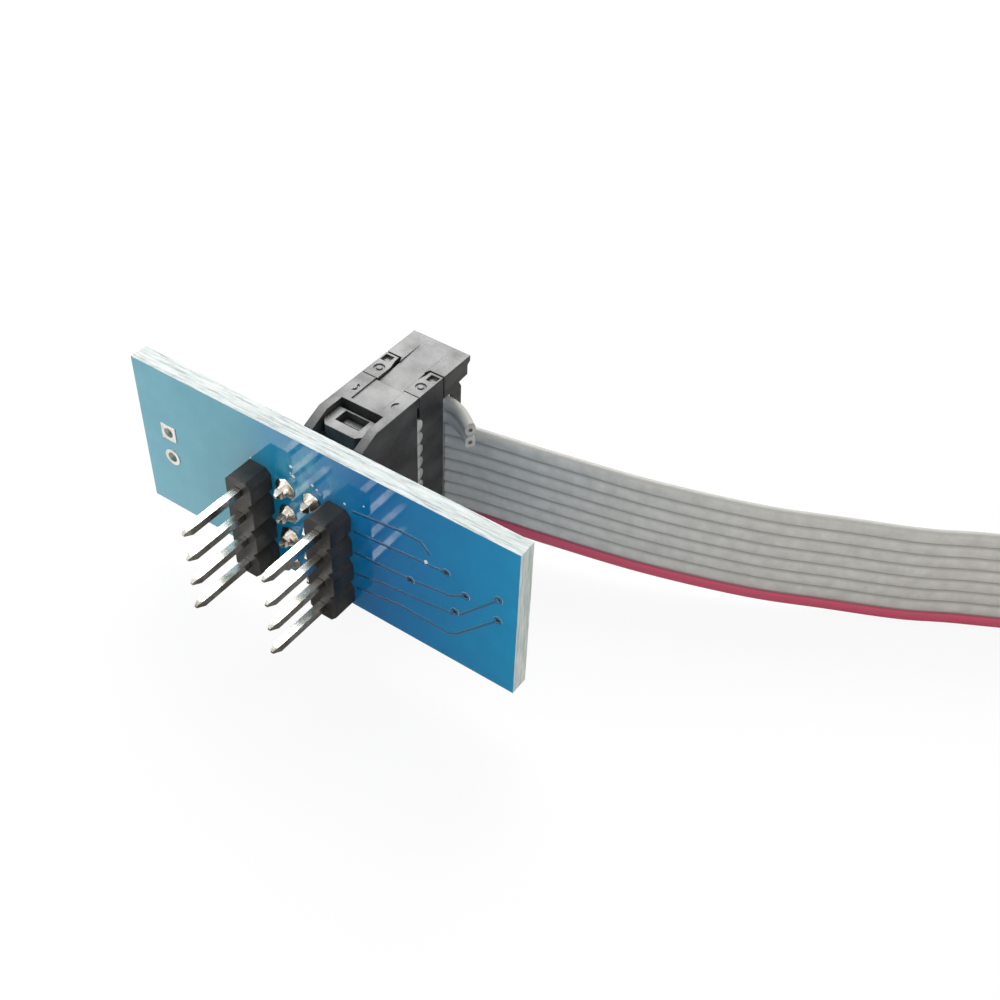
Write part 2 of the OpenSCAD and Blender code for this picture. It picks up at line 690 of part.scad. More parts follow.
// Right jaw: the outline, its two knuckles at the cheeks, grip grooves and the nose's comb
module jaw() {
    cheek = block_in - knuckle_gap;
    reach = boss_r + 0.6;
    grooves = 5;
    difference() {
        union() {
            intersection() {
                linear_extrude(height = clip_l) jaw_side();
                rotate([90, 0, 90]) linear_extrude(height = far) jaw_front();
            }
            for (z = [0, clip_l - cheek]) translate([0, 0, z]) hinge_axis(1) {
                cylinder(r = boss_r + 0.1, h = cheek);
                block([0, -boss_r - 0.1, 0], [reach, boss_r + 0.1, cheek]);
            }
        }
        hinge_axis(1) {
            translate([0, 0, -1]) cylinder(d = hinge_pin_d + 2 * hinge_clear, h = clip_l + 2);
            translate([0, 0, cheek]) cylinder(r = boss_r + 0.3, h = clip_l - 2 * cheek);
        }
        translate([pad_in - 0.65, -spring_y, clip_l / 2]) rotate([0, 90, 0])
            cylinder(d = spring_d + 0.4, h = jaw_spring_seat);
        translate([block_half - 1, -spring_y, clip_l / 2]) rotate([0, 90, 0])
            cylinder(d = spring_d + 0.4, h = pad_in - block_half + 0.4);
        for (i = [0 : grooves - 1]) translate([pad_out + 0.75, -2.3 - i * 1.15, 0])
            cylinder(r = 0.6, h = far, center = true);
        for (i = [0 : board_rows - 1])
            translate([0, -tip_y - 1, clip_l / 2 + (i - (board_rows - 1) / 2) * tip_pitch - blade[1] / 2 - 0.08])
                cube([1.6, 3.4, blade[1] + 0.16]);
    }
}

// Four spring blades along a jaw, closing from the pins' spacing to the chip's
module jaw_blades() {
    last = len(blade_line) - 1;
    for (i = [0 : board_rows - 1]) {
        step = i - (board_rows - 1) / 2;
        skin([for (k = [0 : last]) let (p = blade_line[k], s = min(1, k / (last - 2)),
            z = clip_l / 2 + step * (pitch + (tip_pitch - pitch) * s))
            [for (c = [[1, 1], [1, -1], [-1, -1], [-1, 1]])
                [p[0] + c[0] * blade[0] / 2, -p[1], z + c[1] * blade[1] / 2]]]);
    }
}

// A compression spring along X, from the block's pocket to the jaw's
module spring() {
    turns = 5;
    sides = 8;
    rings = turns * 12;
    r = (spring_d - spring_wire) / 2;
    wire = spring_wire / 2;
    lead = spring_room - spring_wire - 0.1;
    start = block_half - spring_seat + wire + 0.05;
    translate([0, -spring_y, clip_l / 2]) skin([for (i = [0 : rings]) let (a = 360 * turns * i / rings)
        [for (k = [0 : sides - 1]) let (b = 360 * k / sides, q = r + wire * cos(b))
            [start + lead * i / rings + wire * sin(b), q * cos(a), q * sin(a)]]]);
}

module hinge_pin() {
    hinge_axis(1) translate([0, 0, 0.15]) cylinder(d = hinge_pin_d, h = clip_l - 0.3);
}

module jaw_left() { color(black) on_left() jaw(); }

module jaw_right() { color(black) on_right() jaw(); }

module jaw_contacts_left() { color([0.9, 0.78, 0.4]) on_left() jaw_blades(); }

module jaw_contacts_right() { color([0.9, 0.78, 0.4]) on_right() jaw_blades(); }

module hinge_pin_left() { color(silver) on_left() hinge_pin(); }

module hinge_pin_right() { color(silver) on_right() hinge_pin(); }

module spring_left() { color(silver) on_left() spring(); }

module spring_right() { color(silver) on_right() spring(); }

adapter_board();
plated_pads();
header_left();
header_right();
dip_pins_left();
dip_pins_right();
plug_header();
plug_pins();
plug_solder();
dip_solder();
socket_body();
socket_contacts();
socket_cover();
strain_relief();
ribbon_clamped();
ribbon_stub();
ribbon();
clip_socket_body();
clip_socket_contacts();
clip_socket_cover();
clip_strain_relief();
clip_ribbon_clamped();
clip_block();
clip_pins();
jaw_left();
jaw_right();
jaw_contacts_left();
jaw_contacts_right();
hinge_pin_left();
hinge_pin_right();
spring_left();
spring_right();
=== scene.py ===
# %% [markdown]
# # A chip test clip on a ribbon, with its adapter board
# The object is a blue circuit board with two rows of square pins, a black cable socket pushed on
# its back, a flat grey ribbon and, at the ribbon's other end, a sprung clip that grips a small
# chip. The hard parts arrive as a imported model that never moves. Here they get their finishes,
# and the soft or uneven things, such as the ribbon, the solder and the copper under the mask, are
# built in Blender.

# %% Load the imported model
import json
import math

import bmesh
import bpy
from mathutils import Matrix, Vector

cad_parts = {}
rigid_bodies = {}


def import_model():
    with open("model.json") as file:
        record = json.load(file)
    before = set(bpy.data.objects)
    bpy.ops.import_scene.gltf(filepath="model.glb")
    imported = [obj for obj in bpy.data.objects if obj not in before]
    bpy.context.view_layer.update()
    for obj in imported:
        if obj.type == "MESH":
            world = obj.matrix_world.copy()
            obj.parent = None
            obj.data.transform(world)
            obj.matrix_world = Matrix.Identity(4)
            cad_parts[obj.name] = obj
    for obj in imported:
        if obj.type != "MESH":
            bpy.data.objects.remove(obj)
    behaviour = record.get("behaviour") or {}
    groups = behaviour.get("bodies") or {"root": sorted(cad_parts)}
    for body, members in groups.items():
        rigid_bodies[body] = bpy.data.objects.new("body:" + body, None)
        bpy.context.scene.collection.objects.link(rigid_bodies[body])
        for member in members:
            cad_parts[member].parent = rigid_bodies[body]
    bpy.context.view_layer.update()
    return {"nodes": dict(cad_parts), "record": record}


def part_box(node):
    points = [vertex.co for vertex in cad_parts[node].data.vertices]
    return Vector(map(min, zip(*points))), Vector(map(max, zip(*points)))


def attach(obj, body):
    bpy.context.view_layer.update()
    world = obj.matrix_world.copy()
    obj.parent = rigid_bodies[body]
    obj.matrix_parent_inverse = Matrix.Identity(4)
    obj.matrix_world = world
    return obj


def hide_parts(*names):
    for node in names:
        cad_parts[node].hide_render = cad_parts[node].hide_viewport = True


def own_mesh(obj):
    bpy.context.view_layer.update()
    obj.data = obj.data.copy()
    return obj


# The start-up scene's own objects would count in the boxes, so they go first.
for left_over in list(bpy.data.objects):
    bpy.data.objects.remove(left_over)
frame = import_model()
cad = frame["nodes"]
MM = 0.001

# %% [markdown]
# ## The camera
# A product shot like this one is taken from above the front right corner with a slightly long
# lens. The camera is set by its place and by the directions of its right, up and forward axes,
# which is exact and easier to check than three turning angles.

# %% Place the camera
RIGHT = Vector((0.82234, 0.5681, 0.032)).normalized()
FORWARD = Vector((-0.39608, 0.61191, -0.68461)).normalized()
UP = RIGHT.cross(FORWARD)
CAMERA_AT = Vector((52.564, -64.681, 83.138)) * MM


def in_scene(name, data):
    """A new object for some data, linked to the scene."""
    thing = bpy.data.objects.new(name, data)
    bpy.context.scene.collection.objects.link(thing)
    return thing


lens = bpy.data.cameras.new("product_camera")
lens.lens, lens.sensor_width = 49.0, 36.0
lens.clip_start, lens.clip_end = 0.002, 20
camera = in_scene("product_camera", lens)
camera.matrix_world = Matrix((RIGHT, UP, -FORWARD)).transposed().to_4x4()
camera.matrix_world.translation = CAMERA_AT
bpy.context.scene.camera = camera
print("camera at", [round(v, 4) for v in camera.matrix_world.translation])

# %% [markdown]
# ## The flat ribbon
# A ribbon cable is a row of wires moulded side by side in one sheet of soft vinyl, so its faces
# are ridged and it bends easily one way and not at all the other. It stands on its edge as it
# leaves the socket, runs across the bench and comes back in one loop to the clip. The route is a
# list of points with the height of the lower edge at each. A smooth curve goes through them, and
# one ridged outline is swept along it. A curve object with a bevel would twist at the loop, so
# the sweep is made in mesh code, where the outline always stays upright.

# %% The ribbon's sizes and route
PITCH = 1.27  # from wire to wire
THICK = 0.90  # over a wire
WEB = 0.26  # between two wires
RIDGE = 0.61  # half the height of a wire's ridge
EDGE = 0.06  # half the thickness at the ribbon's two edges
FREE_WIRES = 8
ROUTE = [
    (2.8, 3.7, 2.15), (5, 4.4, 2.1), (8.5, 5.2, 2), (12, 6.1, 1.8), (19.7, 8.5, 1.2),
    (27.6, 11.7, 0.6), (33.5, 14.7, 0.3), (39, 17.5, 0.1), (44, 20.4, 0.1), (56, 26.5, 0.1),
    (69, 30.5, 0.1), (82, 31, 0.1), (92, 26.5, 0.1), (96, 17.5, 0.1), (92, 8.5, 0.1),
    (82, 4, 0.1), (72, 2, 0.1), (64, -2.5, 0.2), (62, -10, 0.5), (66, -17, 1.1),
    (74, -20, 1.7), (81, -20.3, 2.1), (87.2, -20.3, 2.15),
]
FOOT = ROUTE[0][2]  # height of the ribbon's lower edge at both sockets


def smooth_route(points, gap, fineness=40):
    """Points a gap apart on a smooth curve through the given ones, in metres."""
    knots = [Vector(p) * MM for p in points]
    knots = [knots[0] * 2 - knots[1], *knots, knots[-1] * 2 - knots[-2]]
    fine = []
    for a, b, c, d in zip(knots, knots[1:], knots[2:], knots[3:]):
        for k in range(fineness):
            t = k / fineness
            linear = (c - a) * t
            square = (2 * a - 5 * b + 4 * c - d) * t * t
            cube = (3 * b - a - 3 * c + d) * t**3
            fine.append(0.5 * (2 * b + linear + square + cube))
    fine.append(knots[-2].copy())
    total = sum((q - p).length for p, q in zip(fine, fine[1:]))
    count = max(2, round(total / (gap * MM)))
    spaced, walked, k = [fine[0]], 0.0, 0
    for step in range(1, count):
        goal = total * step / count
        while walked + (fine[k + 1] - fine[k]).length < goal:
            walked += (fine[k + 1] - fine[k]).length
            k += 1
        part = (goal - walked) / (fine[k + 1] - fine[k]).length
        spaced.append(fine[k].lerp(fine[k + 1], part))
    return [*spaced, fine[-1]], total


route, route_length = smooth_route(ROUTE, gap=0.6)
print("ribbon route", round(route_length * 1000, 1), "mm in", len(route), "points")

# %% [markdown]
# ### Sweeping the ridged outline
# The outline goes up one face and down the other, over every wire. Each point also stores how far
# across the ribbon it lies, counted in wires, so that the material can paint the red edge wire
# and the painted shade in the valleys wherever the ribbon goes.

# %% Outline and sweep


def ribbon_outline(wires, steps=7):
    """The outline as (offset from the middle, height, distance across in wires)."""
    face = []
    for wire in range(wires):
        for step in range(steps):
            turn = math.pi * (step + 0.5) / steps
            height = (wire + 0.5) * PITCH - RIDGE * math.cos(turn)
            face.append((WEB / 2 + (THICK - WEB) / 2 * math.sin(turn), height))
    face = [(EDGE, 0.0), *face, (EDGE, wires * PITCH)]
    both = face + [(-offset, height) for offset, height in reversed(face)]
    return [(offset, height, height / PITCH) for offset, height in both]


def mesh_piece(name, bm, smooth_angle=35):
    """A new object from a bmesh, with outward normals and soft shading."""
    bmesh.ops.recalc_face_normals(bm, faces=bm.faces)
    mesh = bpy.data.meshes.new(name)
    bm.to_mesh(mesh)
    bm.free()
    mesh.shade_smooth()
    mesh.set_sharp_from_angle(angle=math.radians(smooth_angle))
    return in_scene(name, mesh)


def sweep_ribbon(name, path, wires):
    """The ridged outline swept upright along a path of its lower edge."""
    bm = bmesh.new()
    across = bm.verts.layers.float.new("across")
    outline = ribbon_outline(wires)
    rings = []
    for k, foot in enumerate(path):
        ahead = path[min(k + 1, len(path) - 1)] - path[max(k - 1, 0)]
        side = Vector((-ahead.y, ahead.x, 0)).normalized()
        ring = []
        for offset, height, wire in outline:
            vert = bm.verts.new(foot + side * offset * MM + Vector((0, 0, height * MM)))
            vert[across] = wire
            ring.append(vert)
        rings.append(ring)
    n = len(outline)
    for low, high in zip(rings, rings[1:]):
        for j in range(n):
            bm.faces.new((low[j], low[(j + 1) % n], high[(j + 1) % n], high[j]))
    bm.faces.new(rings[0])
    bm.faces.new(rings[-1])
    return mesh_piece(name, bm, 60)


ribbon = sweep_ribbon("flat_ribbon", route, FREE_WIRES)
print("ribbon mesh has", len(ribbon.data.polygons), "faces")

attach(ribbon, "cable")
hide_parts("ribbon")

# %% [markdown]
# ## The ribbon's clamped ends and the cut stub
# Inside each socket the ribbon lies flat over the contacts and is folded back under the strain
# relief. All that shows is its scalloped edge in the gap. Ten wires go in at the board's end, and
# the top two are cut off short just outside, so their round ends show the copper. The clamped
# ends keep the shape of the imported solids, as merged copies that know how far across they are.
# The stub is swept like the ribbon.

# %% Clamped ends


def soft_copy(node, name, body):
    """A merged copy of a packed soft solid that replaces it."""
    bm = bmesh.new()
    bm.from_mesh(cad[node].data)
    bmesh.ops.remove_doubles(bm, verts=bm.verts, dist=1e-6)
    across = bm.verts.layers.float.new("across")
    for vert in bm.verts:
        vert[across] = (vert.co.z / MM - FOOT) / PITCH
    piece = mesh_piece(name, bm, 40)
    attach(piece, body)
    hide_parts(node)
    return piece


clamped = soft_copy("ribbon_clamped", "clamped_end", "cable")
clip_clamped = soft_copy("clip_ribbon_clamped", "clip_clamped_end", "cable")

# %% The cut stub with its copper ends
STUB = [
    (2.8, 3.7, 12.31), (3.5, 3.68, 12.3), (4.3, 3.5, 12.2), (5.1, 3.15, 12.02), (5.95, 2.62, 11.81),
]
STRAND_RING = 0.115  # from a wire's middle to the six outer strands
STRAND_LENGTH = 0.76
STRAND_INSIDE = 0.3  # from the cut to a strand's middle
stub_path, stub_length = smooth_route(STUB, gap=0.12)
stub = sweep_ribbon("cut_stub", stub_path, 2)
for value in stub.data.attributes["across"].data:
    value.value += FREE_WIRES  # the ninth and tenth wires
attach(stub, "cable")
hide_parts("ribbon_stub")


def wire_ends(name, end, ahead, wires):
    """Seven copper strands in each cut wire, standing just out of the vinyl."""
    bm = bmesh.new()
    ahead = ahead.normalized()
    side = Vector((-ahead.y, ahead.x, 0)).normalized()
    facing = ahead.to_track_quat("Z", "Y").to_matrix().to_4x4()
    spots = [(0, 0)]
    for k in range(6):
        turn = k * math.pi / 3
        spots.append((STRAND_RING * math.cos(turn), STRAND_RING * math.sin(turn)))
    for wire in range(wires):
        middle_of = end + Vector((0, 0, (wire + 0.5) * PITCH * MM))
        for across_by, up_by in spots:
            centre = middle_of + side * across_by * MM + Vector((0, 0, up_by * MM))
            bmesh.ops.create_cone(
                bm,
                cap_ends=True,
                segments=8,
                radius1=0.056 * MM,
                radius2=0.05 * MM,
                depth=STRAND_LENGTH * MM,
                matrix=Matrix.Translation(centre - ahead * STRAND_INSIDE * MM) @ facing,
            )
    return mesh_piece(name, bm, 50)


copper_ends = wire_ends("stub_copper_ends", stub_path[-1], stub_path[-1] - stub_path[-3], 2)
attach(copper_ends, "cable")
print("stub", round(stub_length * 1000, 2), "mm long")

# %% [markdown]
# ## Node trees for small repeated things
# Solder joints, plated through holes and drops of flux are the same small shape many times over.
# A Geometry Nodes tree puts one shape on each point, turns and sizes it by chance from a fixed
# seed, and then moves the surface a little by noise so that no two are alike. The tree ends in
# real faces, which are stored as a plain mesh.

# %% Helpers for trees


def new_tree(name, sockets):
    """A geometry tree with a geometry input and output and the named inputs."""
    tree = bpy.data.node_groups.new(name, "GeometryNodeTree")
    tree.interface.new_socket("Geometry", in_out="INPUT", socket_type="NodeSocketGeometry")
    for label, kind, value in sockets:
        item = tree.interface.new_socket(label, in_out="INPUT", socket_type=kind)
        if value is not None:
            item.default_value = value
    tree.interface.new_socket("Geometry", in_out="OUTPUT", socket_type="NodeSocketGeometry")
    return tree, tree.nodes.new("NodeGroupInput"), tree.nodes.new("NodeGroupOutput")


def add(tree, kind, **settings):
    """One node with its settings."""
    node = tree.nodes.new(kind)
    for key, value in settings.items():
        setattr(node, key, value)
    return node

def paint_and_end(tree, start, end, geometry):
    """Give the geometry the tree's own material and send it out."""
    painted = add(tree, "GeometryNodeSetMaterial")
    tree.links.new(geometry, painted.inputs["Geometry"])
    tree.links.new(start.outputs["Material"], painted.inputs["Material"])
    tree.links.new(painted.outputs[0], end.inputs[0])


def grow(name, source, tree, values, body):
    """Run a tree on a source object and keep the result as a plain mesh."""
    modifier = source.modifiers.new("grow", "NODES")
    modifier.node_group = tree
    inputs = [item for item in tree.interface.items_tree if item.in_out == "INPUT"]
    by_name = {item.name: item.identifier for item in inputs}
    for label, value in values.items():
        modifier[by_name[label]] = value
    bpy.context.view_layer.update()
    depsgraph = bpy.context.evaluated_depsgraph_get()
    mesh = bpy.data.meshes.new_from_object(source.evaluated_get(depsgraph))
    mesh.name = name
    source.modifiers.clear()
    bpy.data.objects.remove(source)
    piece = in_scene(name, mesh)
    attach(piece, body)
    print(name, "has", len(mesh.polygons), "faces")
    return piece


def lines_object(name, lines):
    """An object of edges that join the points of each line, given in millimetres."""
    verts, edges = [], []
    for line in lines:
        first = len(verts)
        verts += [tuple(Vector(point) * MM) for point in line]
        edges += [(first + k, first + k + 1) for k in range(len(line) - 1)]
    mesh = bpy.data.meshes.new(name)
    mesh.from_pydata(verts, edges, [])
    return in_scene(name, mesh)


def points_object(name, points):
    """An object of loose points, given in millimetres."""
    return lines_object(name, [[point] for point in points])


def turned_shape(name, profile, sides=28):
    """A shape turned about Y from (radius, distance along Y) pairs, in millimetres."""
    bm = bmesh.new()
    rings = []
    for radius, along in profile:
        if radius == 0:
            rings.append([bm.verts.new((0, along * MM, 0))])
            continue
        ring = []
        for k in range(sides):
            turn = 2 * math.pi * k / sides
            out, up = radius * MM * math.cos(turn), radius * MM * math.sin(turn)
            ring.append(bm.verts.new((out, along * MM, up)))
        rings.append(ring)
    for low, high in zip(rings, rings[1:]):
        for k in range(sides):
            corners = [low[k % len(low)], low[(k + 1) % len(low)]]
            corners += [high[(k + 1) % len(high)], high[k % len(high)]]
            corners = list(dict.fromkeys(corners))  # a tip is one point, used twice
            if len(corners) > 2:
                bm.faces.new(corners)
    return mesh_piece(name, bm, 180)


# %% The scatter tree
def scatter_tree():
    """Puts one shape on each point, varied by chance and uneven by noise."""
    tree, start, end = new_tree(
        "uneven copies on points",
        [
            ("Shape", "NodeSocketObject", None),
            ("Smallest", "NodeSocketFloat", 0.9),
            ("Largest", "NodeSocketFloat", 1.1),
            ("Unevenness", "NodeSocketFloat", 0.0001),
            ("Noise scale", "NodeSocketFloat", 900.0),
            ("Seed", "NodeSocketInt", 1),
            ("Material", "NodeSocketMaterial", None),
        ],
    )
    link = tree.links.new
    shape = add(tree, "GeometryNodeObjectInfo")
    link(start.outputs["Shape"], shape.inputs["Object"])
    size = add(tree, "FunctionNodeRandomValue", data_type="FLOAT")
    link(start.outputs["Smallest"], size.inputs[2])
    link(start.outputs["Largest"], size.inputs[3])
    link(start.outputs["Seed"], size.inputs["Seed"])
    turn = add(tree, "FunctionNodeRandomValue", data_type="FLOAT")
    turn.inputs[2].default_value, turn.inputs[3].default_value = 0.0, 6.283  # any angle
    link(start.outputs["Seed"], turn.inputs["Seed"])
    about_y = add(tree, "ShaderNodeCombineXYZ")
    link(turn.outputs[1], about_y.inputs["Y"])
    copies = add(tree, "GeometryNodeInstanceOnPoints")
    link(start.outputs["Geometry"], copies.inputs["Points"])
    link(shape.outputs["Geometry"], copies.inputs["Instance"])
    link(about_y.outputs[0], copies.inputs["Rotation"])
    link(size.outputs[1], copies.inputs["Scale"])
    real = add(tree, "GeometryNodeRealizeInstances")
    link(copies.outputs[0], real.inputs[0])
    wave = add(tree, "ShaderNodeTexNoise", noise_dimensions="3D")
    place = add(tree, "GeometryNodeInputPosition")
    link(place.outputs[0], wave.inputs["Vector"])
    link(start.outputs["Noise scale"], wave.inputs["Scale"])
    centred = add(tree, "ShaderNodeVectorMath", operation="SUBTRACT")
    link(wave.outputs["Color"], centred.inputs[0])
    centred.inputs[1].default_value = (0.5, 0.5, 0.5)
    amount = add(tree, "ShaderNodeVectorMath", operation="SCALE")
    link(centred.outputs[0], amount.inputs[0])
    link(start.outputs["Unevenness"], amount.inputs["Scale"])
    moved = add(tree, "GeometryNodeSetPosition")
    link(real.outputs[0], moved.inputs["Geometry"])
    link(amount.outputs[0], moved.inputs["Offset"])
    paint_and_end(tree, start, end, moved.outputs[0])
    return tree


scatter = scatter_tree()

# %% [markdown]
# ## Finishes
# Every finish is built from nodes on Object coordinates, so it stays on the part wherever the
# part goes. A small set of helpers makes a shader, a noise at a size given in millimetres, and a
# bump with slightly rounded corners, because moulded and cut edges are never quite sharp.

# %% Material helpers


def new_material(name, colour, roughness, metallic=0.0, **extra):
    """A material with the uniform values set on the shader itself."""
    material = bpy.data.materials.new(name)
    material.use_nodes = True
    shader = material.node_tree.nodes["Principled BSDF"]
    shader.inputs["Base Color"].default_value = (*colour, 1)
    shader.inputs["Roughness"].default_value = roughness
    shader.inputs["Metallic"].default_value = metallic
    for label, value in extra.items():
        shader.inputs[label.replace("_", " ")].default_value = value
    material.diffuse_color = (*colour, 1)
    return material, material.node_tree, shader


def object_place(tree, stretch=(1, 1, 1)):
    """Object coordinates, stretched along each axis."""
    coords = add(tree, "ShaderNodeTexCoord")
    mapping = add(tree, "ShaderNodeMapping")
    mapping.inputs["Scale"].default_value = stretch
    tree.links.new(coords.outputs["Object"], mapping.inputs["Vector"])
    return mapping.outputs["Vector"]


def grain(tree, size_mm, detail=3, stretch=(1, 1, 1), rough=0.55):
    """Noise whose features are about a given size."""
    texture = add(tree, "ShaderNodeTexNoise")
    texture.inputs["Scale"].default_value = 1 / (size_mm * MM)
    texture.inputs["Detail"].default_value = detail
    texture.inputs["Roughness"].default_value = rough
    tree.links.new(object_place(tree, stretch), texture.inputs["Vector"])
    return texture.outputs["Fac"]


def ramp(tree, value, stops):
    """Colours or greys picked by a value; stops are (place, colour)."""
    picked = add(tree, "ShaderNodeValToRGB")
    elements = picked.color_ramp.elements
    while len(elements) < len(stops):
        elements.new(0.5)
    for element, (place, colour) in zip(elements, stops):
        element.position = place
        element.color = (*colour, 1) if isinstance(colour, tuple) else (colour, colour, colour, 1)
    tree.links.new(value, picked.inputs["Fac"])
    return picked.outputs["Color"]


def mix(tree, factor, first, second):
    """A mix of two colours, each a socket or a tuple."""
    node = add(tree, "ShaderNodeMix", data_type="RGBA")
    if isinstance(factor, float):
        node.inputs[0].default_value = factor
    else:
        tree.links.new(factor, node.inputs[0])
    for socket, value in ((node.inputs[6], first), (node.inputs[7], second)):
        if isinstance(value, tuple):
            socket.default_value = (*value, 1)
        else:
            tree.links.new(value, socket)
    return node.outputs[2]

def map_range(tree, value, from_min, from_max, to_min=0.0, to_max=1.0):
    """A value carried from one span to another and held inside it."""
    node = add(tree, "ShaderNodeMapRange")
    node.inputs["From Min"].default_value = from_min
    node.inputs["From Max"].default_value = from_max
    node.inputs["To Min"].default_value = to_min
    node.inputs["To Max"].default_value = to_max
    tree.links.new(value, node.inputs["Value"])
    return node.outputs[0]


def relief(tree, shader, height, depth_mm, rounding_mm=0.06):
    """Bump of a real depth on top of softly rounded corners."""
    bump = add(tree, "ShaderNodeBump")
    bump.inputs["Strength"].default_value = 1.0
    bump.inputs["Distance"].default_value = depth_mm * MM
    tree.links.new(height, bump.inputs["Height"])
    if rounding_mm:
        corner = add(tree, "ShaderNodeBevel", samples=4)
        corner.inputs["Radius"].default_value = rounding_mm * MM
        tree.links.new(corner.outputs["Normal"], bump.inputs["Normal"])
    tree.links.new(bump.outputs["Normal"], shader.inputs["Normal"])


# %% [markdown]
# ### Moulded plastics
# The pin strips, the sockets and the clip are black thermoplastic. Black plastic is never one
# flat black: the mould leaves a fine grain, the flow leaves faint streaks, and handling polishes
# some patches, which shows in the gloss far more than in the colour.

# %% Black plastics


def black_plastic(name, colour, pale, roughness, grain_mm, depth_mm, streak, gloss_level=0.5):
    """Black moulded plastic with grain, flow streaks and polished patches."""
    material, tree, shader = new_material(name, colour, roughness, Specular_IOR_Level=gloss_level)
    flow = grain(tree, 1.6, 4, streak)
    fine = grain(tree, grain_mm, 3)
    tone = ramp(tree, flow, [(0.35, colour), (0.7, pale)])
    shader_colour = mix(tree, ramp(tree, fine, [(0.45, 0.0), (0.75, 0.5)]), tone, pale)
    tree.links.new(shader_colour, shader.inputs["Base Color"])
    worn = [(0.32, roughness - 0.10), (0.68, roughness + 0.12)]
    tree.links.new(ramp(tree, grain(tree, 2.3, 3), worn), shader.inputs["Roughness"])
    relief(tree, shader, fine, depth_mm, rounding_mm=0.09)
    return material


header_black = black_plastic(
    "moulded nylon, pin strips",
    colour=(0.009, 0.008, 0.008),
    pale=(0.050, 0.046, 0.040),
    roughness=0.42,
    grain_mm=0.22,
    depth_mm=0.012,
    streak=(1, 1, 0.25),
)
socket_black = black_plastic(
    "grained polyester, cable sockets",
    colour=(0.012, 0.012, 0.013),
    pale=(0.070, 0.072, 0.064),
    roughness=0.40,
    grain_mm=0.16,
    depth_mm=0.018,
    streak=(1, 0.4, 1),
    gloss_level=0.85,
)
clip_black = black_plastic(
    "glass filled plastic, clip",
    colour=(0.016, 0.016, 0.018),
    pale=(0.050, 0.050, 0.050),
    roughness=0.46,
    grain_mm=0.10,
    depth_mm=0.008,
    streak=(1, 0.2, 1),
)

# %% [markdown]
# ### Metals
# The pins are tin plated: bright, a little cloudy, with faint drawing lines along their length.
# The solder is brighter and uneven. Contacts have a thin gold flash, and the springs and hinge
# pins are plain steel wire.

# %% Metals


def metal(
    name,
    colour,
    stained,
    roughness,
    spread,
    stain_mm,
    stretch=(1, 1, 1),
    depth_mm=0.004,
    rounding_mm=0.04,
):
    """A plated metal with cloudy stains, uneven gloss and fine marks."""
    material, tree, shader = new_material(name, colour, roughness, 1.0)
    cloud = grain(tree, stain_mm, 4)
    tree.links.new(ramp(tree, cloud, [(0.38, stained), (0.6, colour)]), shader.inputs["Base Color"])
    lines = grain(tree, 0.12, 2, stretch)
    gloss = ramp(tree, lines, [(0.3, roughness - spread), (0.7, roughness + spread)])
    tree.links.new(gloss, shader.inputs["Roughness"])
    relief(tree, shader, lines, depth_mm, rounding_mm)
    return material


tin = metal(
    "tin plate, square pins", (0.74, 0.73, 0.69), stained=(0.40, 0.37, 0.31),
    roughness=0.20, spread=0.06, stain_mm=1.4, stretch=(1, 0.08, 1), depth_mm=0.002,
)
pad_tin = metal(
    "tinned pads", (0.86, 0.84, 0.81), stained=(0.72, 0.66, 0.60),
    roughness=0.40, spread=0.10, stain_mm=0.5,
)
solder = metal(
    "bright solder", (0.88, 0.87, 0.83), stained=(0.60, 0.52, 0.38),
    roughness=0.16, spread=0.07, stain_mm=0.5, depth_mm=0.02, rounding_mm=0,
)
gold = metal(
    "gold flash, contacts", (0.86, 0.62, 0.27), stained=(0.70, 0.45, 0.18),
    roughness=0.26, spread=0.08, stain_mm=1.2, stretch=(1, 0.1, 1),
)
steel = metal(
    "plain spring steel", (0.56, 0.56, 0.57), stained=(0.38, 0.37, 0.36),
    roughness=0.30, spread=0.10, stain_mm=1.5, stretch=(0.2, 1, 1),
)
copper = metal(
    "bare copper strands", (0.62, 0.36, 0.22), stained=(0.36, 0.22, 0.15),
    roughness=0.35, spread=0.08, stain_mm=0.2, depth_mm=0.002, rounding_mm=0,
)

# %% [markdown]
# ### The board
# A circuit board is woven glass in resin, cut to size, with a coat of glossy blue mask on its two
# faces. The cut edges show the pale resin and the layers of glass, so one material picks between
# the two finishes by the direction that each face points in.

# %% Board finish
BOARD_LEFT, BOARD_RIGHT = -0.0163, 0.0197  # the board's two ends
HAZE_AT = (0.0012, 0, 0.0150)  # the middle of the haze, at the plug's upper joints
HAZE_FADES, HAZE_FULL = 0.0044, 0.0016  # how far from there it ends and is strongest
# painted reflection: the change from pale blue at the left end to deep blue is partly painted
MASK_BLUES_WITH_PAINTED_REFLECTION = [
    (0.0, (0.080, 0.37, 0.47)),
    (0.30, (0.052, 0.330, 0.42)),
    (0.38, (0.001, 0.240, 0.43)),
    (0.50, (0.001, 0.210, 0.43)),
    (0.66, (0.001, 0.150, 0.38)),
    (1.0, (0.002, 0.270, 0.50)),
]


def points_along(tree, direction, axis):
    """One on faces that point along an axis, either way, and nought on the rest."""
    size = add(tree, "ShaderNodeMath", operation="ABSOLUTE")
    tree.links.new(direction.outputs[axis], size.inputs[0])
    squarely = add(tree, "ShaderNodeMath", operation="GREATER_THAN")
    squarely.inputs[1].default_value = 0.7
    tree.links.new(size.outputs[0], squarely.inputs[0])
    return squarely.outputs[0]


